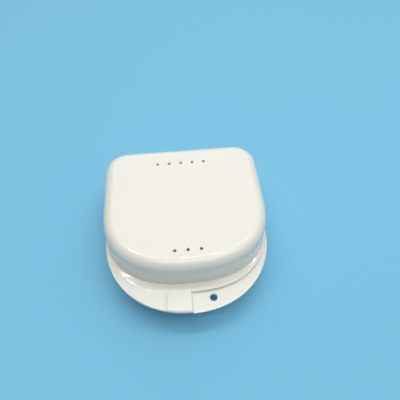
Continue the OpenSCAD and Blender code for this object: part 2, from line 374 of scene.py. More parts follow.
@dataclass(frozen=True)
class GlowWall(Finish):
    """Pale wall far behind the case, softly lit."""

    colour: Triple = (1.0, 0.88, 0.68)
    roughness: float = 0.9
    strength: float = 0.16

    def surface(self) -> Mask:
        """Build the shader and return its output."""
        glow, power = rgba(self.colour), self.strength
        return self.principled(glow, self.roughness, Emission_Color=glow, Emission_Strength=power)


# The outline, and pieces in the making


def round_path(centre: Pair, radius: float, start: float, end: float, steps: int) -> list[Pair]:
    """Points of an arc with both ends, by its angles in degrees and its number of chords."""
    angles = [math.radians(start + (end - start) * i / steps) for i in range(steps + 1)]
    return [(centre[0] + radius * math.cos(a), centre[1] + radius * math.sin(a)) for a in angles]


def rounded(corner: Pair, before: Pair, after: Pair, radius: float, steps: int) -> list[Pair]:
    """Round one corner of a path with a smooth curve.

    Args:
        corner: The corner.
        before: The path's point before it.
        after: The path's point after it.
        radius: Distance from the corner where the curve starts and ends.
        steps: Number of chords.

    Returns:
        The curve's points.
    """
    c, a, b = Vector(corner), Vector(before), Vector(after)
    start = c + (a - c).normalized() * min(radius, (a - c).length * 0.49)
    end = c + (b - c).normalized() * min(radius, (b - c).length * 0.49)
    found = []
    for i in range(steps + 1):
        t = i / steps
        found.append(tuple((1 - t) ** 2 * start + 2 * t * (1 - t) * c + t * t * end))
    return found


def signed_power(value: float, exponent: float) -> float:
    """A power that keeps the value's sign."""
    return math.copysign(abs(value) ** exponent, value) if value else 0.0


class Half(Enum):
    """The two mouldings that part at the seam."""

    LID = "lid"
    BOWL = "bowl"


@dataclass(frozen=True)
class Station:
    """One place on the D outline, with its outward normal and the reach of rim and tab."""

    x: float
    y: float
    nx: float
    ny: float
    rim: float
    tab: float

    def at(self, out: float, z: float) -> Vector:
        """The point at a distance out from the wall, at a height."""
        return Vector((self.x + out * self.nx, self.y + out * self.ny, z))


@dataclass(frozen=True)
class CaseShape:
    """Sizes that lid and bowl share, and the D outline that both follow."""

    width: float = 75.0
    front_reach: float = 34.6
    side_len: float = 23.2
    corner_r: float = 11.4
    fullness: float = 2.44
    shoulder_y: float = 2.836224
    height: float = 29.0
    seam_z: float = 13.0
    seam_gap: float = 0.2
    wall: float = 1.6
    draft: float = 0.03
    rim_w: float = 3.6
    rim_fullness: float = 2.55
    tab_back: float = 9.0
    tab_reach: float = 38.2
    tab_fullness: float = 2.12
    least_reach: float = 0.2
    reach_limit: float = 20.0
    halvings: int = 40
    edge: float = 0.3
    end_r: float = 0.5
    end_steps: tuple[float, ...] = (0.0, 0.01, 0.03, 0.08, 0.16, 0.28, 0.4)
    front_steps: int = 168
    corner_steps: int = 20

    @property
    def lid_z(self) -> float:
        """Height of the lid's lower edge."""
        return self.seam_z + self.seam_gap / 2

    @property
    def bowl_z(self) -> float:
        """Height of the bowl's edge."""
        return self.seam_z - self.seam_gap / 2

    @property
    def front_y(self) -> float:
        """Place of the front wall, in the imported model's frame."""
        return self.shoulder_y - self.front_reach

    @property
    def back_y(self) -> float:
        """Place of the back wall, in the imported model's frame."""
        return self.shoulder_y + self.side_len + self.corner_r

    def _front(self, angle: float) -> tuple[float, float, float, float]:
        """Point and normal on the rounded front, relative to the shoulder line.

        Args:
            angle: Angle of the curve's own parameter, from -pi at the left to 0 at the right.

        Returns:
            The point's x and y and the normal's x and y.
        """
        half, n = self.width / 2, self.fullness
        c, s = math.cos(angle), math.sin(angle)
        c, s = (0.0 if abs(v) < TINY else v for v in (c, s))
        point = Vector((half * signed_power(c, 2 / n), self.front_reach * signed_power(s, 2 / n)))
        normal = Vector(
            (signed_power(c, 2 - 2 / n) / half, signed_power(s, 2 - 2 / n) / self.front_reach)
        )
        normal.normalize()
        return point.x, point.y, normal.x, normal.y

    def _inside(self, x: float, y: float, reach: float, fullness: float, back: float) -> bool:
        """Whether a point lies inside a rim's or a tab's curve."""
        over = max(-y - back, 0.0) / reach
        return abs(2 * x / self.width) ** fullness + over**fullness < 1

    def _reach(self, place: Sequence[float], reach: float, fullness: float, back: float) -> float:
        """Distance from a point of the front, along its normal, to a rim's or a tab's curve.

        Args:
            place: The point's x and y and the normal's x and y.
            reach: How far the curve stands out in front of its back line.
            fullness: Exponent of the curve.
            back: How far its back line lies before the shoulder line.

        Returns:
            The distance, or 0 where there is next to none.
        """
        x, y, nx, ny = place
        low, high = 0.0, self.reach_limit
        for _ in range(self.halvings):
            mid = (low + high) / 2
            if self._inside(x + mid * nx, y + mid * ny, reach, fullness, back):
                low = mid
            else:
                high = mid
        return 0.0 if low < self.least_reach else low

    def stations(self) -> list[Station]:
        """The outline, anticlockwise from the left shoulder.

        Returns:
            The stations, with more of them near the middle, where the tabs end.
        """
        places = []
        middle = self.front_steps // 2
        offsets = sorted({side * v for v in (*self.end_steps, self.end_r) for side in (-1, 1)})
        for i in range(self.front_steps + 1):
            place = self._front(-math.pi + math.pi * i / self.front_steps)
            if i == middle:
                places += [(place[0] + v, *place[1:]) for v in offsets]
            else:
                places.append(place)
        found = []
        for place in places:
            rim = self._reach(place, self.front_reach + self.rim_w, self.rim_fullness, 0)
            tab = self._reach(place, self.tab_reach, self.tab_fullness, self.tab_back)
            found.append(Station(place[0], place[1] + self.shoulder_y, *place[2:], rim, tab))
        for side, first in ((1, 0), (-1, 90)):
            for i in range(self.corner_steps + 1):
                a = math.radians(first + 90 * i / self.corner_steps)
                x = side * (self.width / 2 - self.corner_r) + self.corner_r * math.cos(a)
                y = self.shoulder_y + self.side_len + self.corner_r * math.sin(a)
                found.append(Station(x, y, math.cos(a), math.sin(a), 0.0, 0.0))
        return found

    def reach_at(self, station: Station, half: Half) -> float:
        """Reach of a half's rim or tab at a station, with the tab's end rounded in plan.

        Args:
            station: The station.
            half: The half.

        Returns:
            The reach, out from the wall.
        """
        side = -station.x if half is Half.LID else station.x
        # The bowl's tab starts one step beside the middle, where the lid's ends
        if side < (0 if half is Half.LID else self.end_steps[1]):
            return station.rim
        back_in = max(self.end_r - side, 0.0)
        return station.tab - self.end_r + math.sqrt(max(self.end_r**2 - back_in**2, 0.0))


@dataclass(frozen=True)
class Catch:
    """Sizes that the lid's pad and pocket share with the bowl's tongue and nub."""

    pad_w: float = 11.5
    pad_out: float = 3.2
    pocket_d: float = 2.6
    pocket_wall: float = 1.5
    pocket_depth: float = 1.0
    gap: float = 0.2

    @property
    def pocket_w(self) -> float:
        """Width of the pocket."""
        return self.pad_w - 2 * self.pocket_wall

    def pocket_y(self, shape: CaseShape) -> float:
        """Place of the pocket's middle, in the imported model's frame."""
        return shape.front_y - self.pad_out - 2 * shape.edge - self.pocket_d / 2


def link(name: str, data: bpy.types.ID) -> Piece:
    """Make an object of some data and add it to the scene.

    Args:
        name: The object's name.
        data: Its mesh, light or camera.

    Returns:
        The object.
    """
    made = bpy.data.objects.new(name, data)
    bpy.context.scene.collection.objects.link(made)
    return made


def mark_creases(bm: BMesh, angle: float) -> None:
    """Keep sharp edges crisp.

    Args:
        bm: The mesh.
        angle: Edges sharper than this count, in degrees.
    """
    for edge in bm.edges:
        if edge.is_manifold and edge.calc_face_angle(0.0) > math.radians(angle):
            edge.smooth = False


@dataclass
class Blank:
    """A piece being made: its bmesh in millimetres, and what it becomes."""

    name: str
    mesh: BMesh = field(default_factory=bmesh.new)

    def extrude_row(self, edges: Sequence[BMEdge]) -> tuple[set[BMVert], list[BMEdge]]:
        """Extrude a closed row of edges.

        Args:
            edges: The row.

        Returns:
            The new row's corners and its edges.
        """
        made = bmesh.ops.extrude_edge_only(self.mesh, edges=edges)["geom"]
        verts = {g for g in made if isinstance(g, BMVert)}
        row = [g for g in made if isinstance(g, BMEdge) and set(g.verts) <= verts]
        return verts, row

    def sweep(self, stations: Sequence[Station], paths: Sequence[Sequence[Pair]]) -> None:
        """Sweep a profile round the outline, one extruded ring after another, and cap both ends.

        Args:
            stations: The outline.
            paths: The profile at each station, as distances out from the wall and heights.
        """
        bm = self.mesh
        step = bm.verts.layers.int.new("step")
        bmesh.ops.create_circle(bm, segments=len(stations), radius=1)
        for i, vert in enumerate(bm.verts):
            vert[step] = i
        edges = bm.edges[:]

        def lay(verts: Iterable[BMVert], level: int) -> None:
            """Put a ring's corners where the profile is at that level.

            Args:
                verts: The ring's corners.
                level: The level.
            """
            for v in verts:
                out, z = paths[v[step]][level]
                v.co = stations[v[step]].at(out, z)

        lay(bm.verts, 0)
        bmesh.ops.contextual_create(bm, geom=edges)
        for level in range(1, len(paths[0])):
            verts, edges = self.extrude_row(edges)
            lay(verts, level)
        bmesh.ops.contextual_create(bm, geom=edges)
        self.clean()

    def block(self, low: Vector, high: Vector) -> None:
        """Add a block.

        Args:
            low: Its lowest corner.
            high: Its highest corner.
        """
        made = bmesh.ops.create_cube(self.mesh, size=1)["verts"]
        bmesh.ops.scale(self.mesh, vec=high - low, verts=made)
        bmesh.ops.translate(self.mesh, vec=(high + low) / 2, verts=made)

    def clean(self) -> None:
        """Merge corners that meet and turn the faces outwards."""
        bmesh.ops.remove_doubles(self.mesh, verts=self.mesh.verts, dist=MERGE)
        bmesh.ops.recalc_face_normals(self.mesh, faces=self.mesh.faces)

    def soften(self, angle: float, width: float, segments: int) -> None:
        """Bevel every edge that is sharper than an angle.

        Args:
            angle: The angle in degrees.
            width: Width of the bevel.
            segments: Steps across it.
        """
        limit = math.radians(angle)
        edges = self.mesh.edges
        sharp = [e for e in edges if e.is_manifold and e.calc_face_angle(0.0) > limit]
        bmesh.ops.bevel(
            self.mesh,
            geom=sharp,
            offset=width,
            offset_type="OFFSET",
            affect="EDGES",
            segments=segments,
            profile=0.5,
            material=-1,
            clamp_overlap=True,
        )

    def finished(self, finish: Finish, crease: float = CREASE) -> Piece:
        """Scale to metres, shade and link the piece.

        Args:
            finish: Its finish.
            crease: Edges sharper than this stay crisp, in degrees.

        Returns:
            The new object, at the origin.
        """
        bm = self.mesh
        bmesh.ops.scale(bm, vec=(MM,) * 3, verts=bm.verts)
        for face in bm.faces:
            face.smooth = True
        mark_creases(bm, crease)
        data = bpy.data.meshes.new(self.name)
        bm.to_mesh(data)
        bm.free()
        data.materials.append(finish.material())
        return link(self.name, data)


def drill(piece: Piece, cutters: Sequence[Piece]) -> None:
    """Cut holes through a piece and delete the cutters.

    Args:
        piece: The piece, in metres.
        cutters: Closed solids.
    """
    for cutter in cutters:
        modifier = piece.modifiers.new("drill", "BOOLEAN")
        modifier.operation = "DIFFERENCE"
        modifier.solver = "EXACT"
        modifier.object = cutter
    graph = bpy.context.evaluated_depsgraph_get()
    cut = bpy.data.meshes.new_from_object(piece.evaluated_get(graph))
    piece.modifiers.clear()
    old, piece.data = piece.data, cut
    name = old.name
    bpy.data.meshes.remove(old)
    cut.name = name
    for cutter in cutters:
        data = cutter.data
        bpy.data.objects.remove(cutter)
        bpy.data.meshes.remove(data)
    bm = bmesh.new()
    bm.from_mesh(piece.data)
    mark_creases(bm, CREASE)
    bm.to_mesh(piece.data)
    bm.free()


def hole_cutter(
    name: str, place: Vector, radius: float, low: float, high: float, mouth: float, finish: Finish
) -> Piece:
    """A round cutter with flared ends, which leaves a hole with softened mouths.

    Args:
        name: Its name.
        place: Its centre line's x and y.
        radius: Radius of the hole.
        low: Height of the surface below.
        high: Height of the surface above.
        mouth: Size of the softened mouths.
        finish: Finish of the hole's wall.

    Returns:
        The cutter.
    """
    flare = radius + 2 * mouth
    path = [(flare, low - mouth), (radius, low + mouth), (radius, high - mouth)]
    path.append((flare, high + mouth))
    soft = [path[0]]
    for i in (1, 2):
        soft += rounded(path[i], path[i - 1], path[i + 1], mouth * 2, SOFT_STEPS)
    soft.append(path[-1])
    blank = Blank(name)
    bm = blank.mesh
    bmesh.ops.create_circle(bm, segments=HOLE_STEPS, radius=1)
    edges = bm.edges[:]
    bmesh.ops.contextual_create(bm, geom=edges)
    size = flare
    for v in bm.verts:
        v.co = Vector((v.co.x * size, v.co.y * size, soft[0][1]))
    for r, z in soft[1:]:
        verts, edges = blank.extrude_row(edges)
        for v in verts:
            v.co = Vector((v.co.x * r / size, v.co.y * r / size, z))
        size = r
    bmesh.ops.contextual_create(bm, geom=edges)
    bmesh.ops.translate(bm, vec=Vector((place.x, place.y, 0)), verts=bm.verts)
    blank.clean()
    return blank.finished(finish)


def dress(piece: Piece, body: str) -> Piece:
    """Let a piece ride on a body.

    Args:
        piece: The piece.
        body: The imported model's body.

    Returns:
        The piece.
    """
    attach(piece, body)
    return piece


# The case


@dataclass
class Lid:
    """Upper half: dome with vents, rim, and left thumb tab with its pad, bead and pocket."""

    shape: CaseShape
    finish: GlossPlastic
    top_t: float = 1.6
    top_round: float = 5.1
    rim_t: float = 1.4
    rim_rise: float = 0.6
    rise_top: float = 1.92
    root_r: float = 0.55
    edge_top: float = 0.45
    rise_soft: float = 1.5
    least_soft: float = 0.02
    plateau_in: float = 0.25
    flat_share: float = 0.96
    soft_share: float = 0.45
    bead_h: float = 0.7
    bead_w: float = 1.4
    bead_r: float = 0.25
    bead_run: float = 0.6
    bead_end: float = 0.5
    vent_r: float = 0.62
    vent_pitch: float = 5.6
    back_row: int = 5
    front_row: int = 3
    back_row_in: float = 11.4
    front_row_in: float = 8.6
    vent_mouth: float = 0.2
    frame_area: float = 3.0
    pocket_soft: float = 0.15
    pad_d: float = 9.3
    pad_h: float = 0.6
    pad_front_h: float = 0.3
    pad_in: float = 0.4
    pad_end: float = 0.04
    pad_grid: tuple[int, int] = (56, 40)
    pad_side: float = 1.8
    pad_soft: float = 0.25
    pad_front_soft: float = 0.6
    pad_corner_h: float = 0.04
    pad_corner_slope: float = 0.17
    pad_corner_turn: float = 1.2
    pad_crowd: float = 0.65
    catch: Catch = Catch()

    @property
    def rim_z(self) -> float:
        """Height of the rim's and the tab's upper face."""
        return self.shape.lid_z + self.rim_t

    def _wall_out(self, z: float) -> float:
        """Where the drafted wall's outer face is at a height."""
        return -self.shape.draft * (z - self.shape.lid_z)

    def _edge_path(self, station: Station) -> list[Pair]:
        """The lid's edge at one station, from below: bead, rounded edge, plateau, rise, root.

        Args:
            station: The station.

        Returns:
            The points, the same number at every station.
        """
        shape, steps = self.shape, ROUND_STEPS
        low, top = shape.lid_z, self.rim_z
        reach = shape.reach_at(station, Half.LID)
        if reach <= 0:
            below, above = (0.0, low), (self._wall_out(top), top)
            return [below] * (BEAD_POINTS + steps + 1) + [above] * (steps + 1 + RISE_POINTS)
        e = min(shape.edge, reach / 2)
        over = min(self.edge_top, reach / 2)
        path = self._bead_path(station, reach)
        path += round_path((reach - e, low + e), e, -90, 0, steps)
        path += round_path((reach - over, top - over), over, 0, 90, steps)
        return path + self._rise_path(station, reach - over)

    def _bead_path(self, station: Station, reach: float) -> list[Pair]:
        """The bead below the tab's edge, which fades out where the tab does.

        Args:
            station: The station.
            reach: Reach of the lid's edge there.

        Returns:
            The points, out from the wall.
        """
        low, out = self.shape.lid_z, 1.5 * self.shape.edge
        inset = out + self.bead_w
        spare = reach - inset - station.rim - 2 * self.shape.seam_gap
        share = min(max(spare / self.bead_run, 0.0), 1.0) if station.x < -self.bead_end else 0.0
        if share <= 0:
            return [(0.0, low)] * BEAD_POINTS
        near, far = reach - inset, reach - out
        deep = low - self.bead_h * share
        r = min(self.bead_r, self.bead_h * share / 2)
        mid = r * MIDWAY
        path = [(near, low), (near, deep + r), (near + mid, deep + mid), (near + r, deep)]
        return path + [(far - r, deep), (far - mid, deep + mid), (far, deep + r), (far, low)]

    def _rise_path(self, station: Station, start: float) -> list[Pair]:
        """The plateau on the rim or tab, the rise behind it and its blend into the wall.

        Args:
            station: The station.
            start: Where the plateau starts, out from the wall.

        Returns:
            The points, in towards the wall.
        """
        shape, top = self.shape, self.rim_z
        flat = min(max(station.rim, shape.least_reach), self.flat_share * start)
        foot = top + self.rim_rise * min(1.0, station.rim / shape.rim_w)
        blend = min(self.root_r, 0.5 * flat)
        soft = min(self.rise_soft, self.soft_share * (start - flat)) + self.least_soft
        level = flat + soft + self.least_soft
        edge = max(start - self.plateau_in, level + 0.01 * (start - level))
        path = [(edge, top), (level, top)]
        root = (blend, foot)
        path += rounded((flat, top), (flat + 1, top), root, soft, 5)[1:5] + [root]
        lean, turns = self._wall_out(foot + blend), 6
        turn = round_path((blend, foot + blend), blend, -90, -180, turns)[1:]
        return path + [(out + lean * (i + 1) / turns, z) for i, (out, z) in enumerate(turn)]

    def _path(self, station: Station) -> list[Pair]:
        """The whole profile at one station: ceiling, inside wall, edge, outside wall, top.

        Args:
            station: The station.

        Returns:
            The points, the same number at every station.
        """
        shape = self.shape
        straight = shape.height - self.top_round - shape.lid_z
        out = -shape.draft * straight
        inner_r = self.top_round - shape.wall
        ceiling = shape.height - self.top_t
        path = [(out - shape.wall - inner_r - CAP_IN, ceiling)]
        path += round_path((out - shape.wall - inner_r, ceiling - inner_r), inner_r, 90, 0, 8)
        lead = shape.edge / 2
        path += [(-shape.wall, shape.lid_z + lead), (-shape.wall + lead, shape.lid_z)]
        path += self._edge_path(station)
        blend_z = self.rim_z + self.rim_rise + self.rise_top
        path += [(self._wall_out(blend_z), blend_z)]
        centre = (out - self.top_round, shape.height - self.top_round)
        path += round_path(centre, self.top_round, 0, 90, 14)
        path += [(centre[0] - CAP_IN, shape.height)]
        return path

    def shell(self) -> Piece:
        """The dome with its rim, tab and vents.

        Returns:
            The drilled shell.
        """
        stations = self.shape.stations()
        blank = Blank("lid_shell")
        blank.sweep(stations, [self._path(s) for s in stations])
        for row in self._vent_rows():
            self._frame_vents(blank.mesh, row)
        made = blank.finished(self.finish)
        drill(made, self._vents() + [self._pocket()])
        return made

    def _vent_rows(self) -> list[list[Vector]]:
        """Places of the vents, row by row.

        Returns:
            The rows, from the hinge to the tabs.
        """
        shape = self.shape
        rows = (
            (self.back_row, shape.back_y - self.back_row_in),
            (self.front_row, shape.front_y + self.front_row_in),
        )
        return [
            [Vector(((i - (count - 1) / 2) * self.vent_pitch, y, 0)) for i in range(count)]
            for count, y in rows
        ]

    def _frame_vents(self, bm: BMesh, row: Sequence[Vector]) -> None:
        """Divide the flat top and the ceiling, so that each vent has a small face of its own.

        Args:
            bm: The lid's mesh.
            row: Places of the row's vents.
        """
        half, y = 2 * self.vent_r, row[0].y
        cuts = [(Vector((0, y + side * half, 0)), Vector((0, 1, 0))) for side in (-1, 1)]
        sides = [Vector((place.x + side * half, y, 0)) for place in row for side in (-1, 1)]
        cuts += [(side, Vector((1, 0, 0))) for side in sides]
        for place, normal in cuts:
            level = [f for f in bm.faces if abs(f.normal.z) > LEVEL]
            flat = [f for f in level if f.calc_area() > self.frame_area]
            if normal.x:
                flat = [f for f in flat if abs(f.calc_center_median().y - y) < half / 2]
            edges = {e for f in flat for e in f.edges}
            verts = {v for f in flat for v in f.verts}
            geom = [*verts, *edges, *flat]
            bmesh.ops.bisect_plane(bm, geom=geom, dist=ON_CUT, plane_co=place, plane_no=normal)

    def _vents(self) -> list[Piece]:
        """Cutters of the eight vents.

        Returns:
            The cutters.
        """
        top = self.shape.height
        size = (self.vent_r, top - self.top_t, top, self.vent_mouth)
        return [
            hole_cutter(f"vent_cutter_{i}", place, *size, self.finish)
            for i, place in enumerate(sum(self._vent_rows(), []))
        ]

    def _pocket(self) -> Piece:
        """Cutter of the catch pocket under the pad.

        Returns:
            The cutter.
        """
        shape, catch = self.shape, self.catch
        x, y, z = -catch.pad_w / 2, catch.pocket_y(shape), shape.lid_z
        half_w, half_d = catch.pocket_w / 2, catch.pocket_d / 2
        high = Vector((x + half_w, y + half_d, z + catch.pocket_depth))
        blank = Blank("pocket_cutter")
        blank.block(Vector((x - half_w, y - half_d, z - 1)), high)
        blank.soften(60, self.pocket_soft, 2)
        blank.clean()
        return blank.finished(self.finish)

    def pad(self) -> Piece:
        """The raised pad at the end of the tab, highest along its back edge.

        Returns:
            The pad.
        """
        shape, width = self.shape, self.catch.pad_w
        blank = Blank("lid_pad")
        bm = blank.mesh
        across, along = self.pad_grid
        bmesh.ops.create_grid(bm, x_segments=across, y_segments=along, size=0.5)
        back = shape.front_y - self.catch.pad_out
        for v in bm.verts:
            u, w = self._crowd(v.co.x + 0.5), self._crowd(v.co.y + 0.5)
            x = -width + (width - self.pad_end) * u
            front = max(self._tab_y(x) + self.pad_in, back - self.pad_d)
            v.co = Vector((x, front + (back - front) * w, self.rim_z + self._pad_top(u, w)))
        verts, edges = blank.extrude_row([e for e in bm.edges if e.is_boundary])
        for v in verts:
            v.co.z = self.rim_z - self.shape.edge
        bmesh.ops.contextual_create(bm, geom=edges)
        blank.clean()
        return blank.finished(self.finish, 50)

    def _tab_y(self, x: float) -> float:
        """Front of the tab at a place across the case.

        Args:
            x: The place.

        Returns:
            The front's y.
        """
        shape = self.shape
        over = max(1 - abs(2 * x / shape.width) ** shape.tab_fullness, 0.0)
        centre = shape.shoulder_y - shape.tab_back
        return centre - shape.tab_reach * over ** (1 / shape.tab_fullness)

    def _crowd(self, t: float) -> float:
        """Crowd a grid's lines towards its two ends."""
        return (1 - self.pad_crowd) * t + self.pad_crowd * t * t * (3 - 2 * t)

    def _pad_top(self, u: float, w: float) -> float:
        """Height of the pad's face above the tab.

        Args:
            u: Place across, 0 at the left and 1 at the right.
            w: Place along, 0 at the front and 1 at the back.

        Returns:
            The height.
        """
        across, back = u * self.catch.pad_w, (1 - w) * self.pad_d
        ramp = self.pad_front_h + (self.pad_h - self.pad_front_h) * w
        run = across + self.pad_corner_turn * back
        corner = self.pad_corner_h + self.pad_corner_slope * run
        left = min(across / self.pad_side, 1.0)
        height = min(ramp, corner) * left * left * (3 - 2 * left)
        right = (1 - u) * self.catch.pad_w / self.pad_soft
        for share in (right, back / self.pad_soft, w * self.pad_d / self.pad_front_soft):
            height *= 0.5 + 0.5 * math.sqrt(max(1 - (1 - min(share, 1.0)) ** 2, 0.0))
        return height

    def build(self) -> list[Piece]:
        """Build the lid's pieces and dress them.

        Returns:
            The pieces.
        """
        shell = dress(self.shell(), "lid")
        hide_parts("lid")
        return [shell, dress(self.pad(), "lid")]


@dataclass
class Bowl:
    """Lower half: bowl with ring foot and lip, rim, right thumb tab and catch tongue."""

    shape: CaseShape
    finish: GlossPlastic
    floor_t: float = 1.6
    foot_round: float = 3.6
    foot_w: float = 2.0
    foot_recess: float = 0.7
    bowl_round: float = 2.6
    lip_h: float = 1.7
    lip_t: float = 1.0
    lip_gap: float = 0.25
    rim_t: float = 1.6
    root_r: float = 0.5
    root_share: float = 0.45
    edge_in: float = 0.2
    under: float = 1.0
    under_soft: float = 0.35
    hole_r: float = 1.6
    hole_x: float = 9.3
    hole_out: float = 6.3
    hole_mouth: float = 0.16
    foot_soft: float = 0.25
    soft: float = 0.3
    band_z: float = 10.2
    tongue_in: float = 0.5
    tongue_soft: float = 0.2
    nub_in: float = 0.3
    nub_soft: float = 0.5
    inset: float = 0.02
    catch: Catch = Catch()

    def _edge_path(self, station: Station) -> list[Pair]:
        """The bowl's edge at one station, from below: root, rounded edge, top.

        Args:
            station: The station.

        Returns:
            The points, the same number at every station.
        """
        shape, steps = self.shape, ROUND_STEPS
        high, low = shape.bowl_z, shape.bowl_z - self.rim_t
        reach = shape.reach_at(station, Half.BOWL)
        wall = -shape.draft * (high - low)
        if reach <= 0:
            below = [(wall, low)] * (steps + 1 + 2 * (SOFT_STEPS + 1))
            return below + [(0.0, high)] * (steps + 2)
        under = min(self.under, reach / 2)
        root = min(self.root_r, self.root_share * (reach - under))
        path = round_path((wall + root, low - root), root, 180, 90, steps)
        bottom, side = (reach - under, low), (reach, low + under)
        path += rounded(bottom, (wall, low), side, self.under_soft, SOFT_STEPS)
        over = min(shape.edge, reach / 3)
        path += rounded(side, bottom, (reach, high), self.soft, SOFT_STEPS)
        path += round_path((reach - over, high - over), over, 0, 90, steps)
        path.append((reach - over - min(self.edge_in, reach / 4), high))
        return path

    def _path(self, station: Station) -> list[Pair]:
        """The whole profile at one station: recess, foot, wall, edge, lip, inside, floor.

        Args:
            station: The station.

        Returns:
            The points, the same number at every station.
        """
        shape = self.shape
        top, draft, recess = shape.bowl_z, shape.draft, self.foot_recess
        floor = recess + self.floor_t
        foot_x = -draft * (top - self.foot_round) - self.foot_round
        foot_in = foot_x - self.foot_w
        lip_out = -shape.wall - self.lip_gap
        lip_in = lip_out - self.lip_t
        lip_top = top + self.lip_h
        band_in = -shape.wall - draft * (2 * self.lip_t + self.lip_gap)
        ledge = (lip_in, top - self.lip_t)
        band = (band_in, top - self.lip_t - band_in + lip_in)
        in_x = -shape.wall - draft * (top - floor - self.bowl_round) - self.bowl_round
        under, ring = (foot_in - recess, recess), (foot_in, 0)
        path = [(foot_in - recess - CAP_IN, recess)]
        path += rounded(under, (foot_in - recess - 1, recess), ring, self.soft, SOFT_STEPS)
        path += rounded(ring, under, (foot_x, 0), self.foot_soft, SOFT_STEPS)
        path += round_path((foot_x, self.foot_round), self.foot_round, -90, 0, 12)
        path += [(-draft * (top - self.band_z), self.band_z)]
        path += self._edge_path(station)
        path += [(lip_out, top)]
        r = shape.edge
        path += round_path((lip_out - r, lip_top - r), r, 0, 90, ROUND_STEPS)
        path += round_path((lip_in + r, lip_top - r), r, 90, 180, ROUND_STEPS)
        path += rounded(ledge, (lip_in, lip_top), band, self.soft, SOFT_STEPS)
        path += rounded(band, ledge, (band_in, floor), self.soft, SOFT_STEPS)
        path += round_path((in_x, floor + self.bowl_round), self.bowl_round, 0, -90, 10)
        path += [(in_x - CAP_IN, floor)]
        return path

    def shell(self) -> Piece:
        """The bowl with its foot, lip, rim, tab and lanyard hole.

        Returns:
            The drilled shell.
        """
        shape = self.shape
        stations = shape.stations()
        blank = Blank("base_shell")
        blank.sweep(stations, [self._path(s) for s in stations])
        made = blank.finished(self.finish)
        place = Vector((self.hole_x, shape.front_y - self.hole_out, 0))
        low, high = shape.bowl_z - self.rim_t, shape.bowl_z
        size = (self.hole_r, low, high, self.hole_mouth)
        drill(made, [hole_cutter("lanyard_cutter", place, *size, self.finish)])
        return made

    def tongue(self) -> Piece:
        """Tongue of the rim under the lid's pad, with the catch nub on it.

        Returns:
            The tongue.
        """
        shape, catch, inset = self.shape, self.catch, self.inset
        blank, nub = Blank("catch_tongue"), Blank("nub")
        x, y = -catch.pad_w / 2, catch.pocket_y(shape)
        front = y - catch.pocket_d / 2 - shape.edge
        left = x - catch.pocket_w / 2 - shape.edge
        low = Vector((left + inset, front + inset, shape.bowl_z - self.rim_t + inset))
        high = Vector((shape.edge, shape.front_y - self.tongue_in, shape.bowl_z - inset))
        blank.block(low, high)
        blank.soften(60, self.tongue_soft, 3)
        half_w, half_d = catch.pocket_w / 2 - catch.gap, catch.pocket_d / 2 - catch.gap
        top = shape.lid_z + catch.pocket_depth - catch.gap
        low = Vector((x - half_w + inset, y - half_d + inset, shape.bowl_z - self.nub_in))
        high = Vector((x + half_w - inset, y + half_d - inset, top - inset))
        nub.block(low, high)
        nub.soften(60, self.nub_soft, 4)
        part = bpy.data.meshes.new("nub")
        nub.mesh.to_mesh(part)
        nub.mesh.free()
        blank.mesh.from_mesh(part)
        bpy.data.meshes.remove(part)
        bmesh.ops.recalc_face_normals(blank.mesh, faces=blank.mesh.faces)
        return blank.finished(self.finish, 50)

    def build(self) -> list[Piece]:
        """Build the bowl's pieces and dress them.

        Returns:
            The pieces.
        """
        shell = dress(self.shell(), "base")
        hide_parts("base")
        return [shell, dress(self.tongue(), "base")]


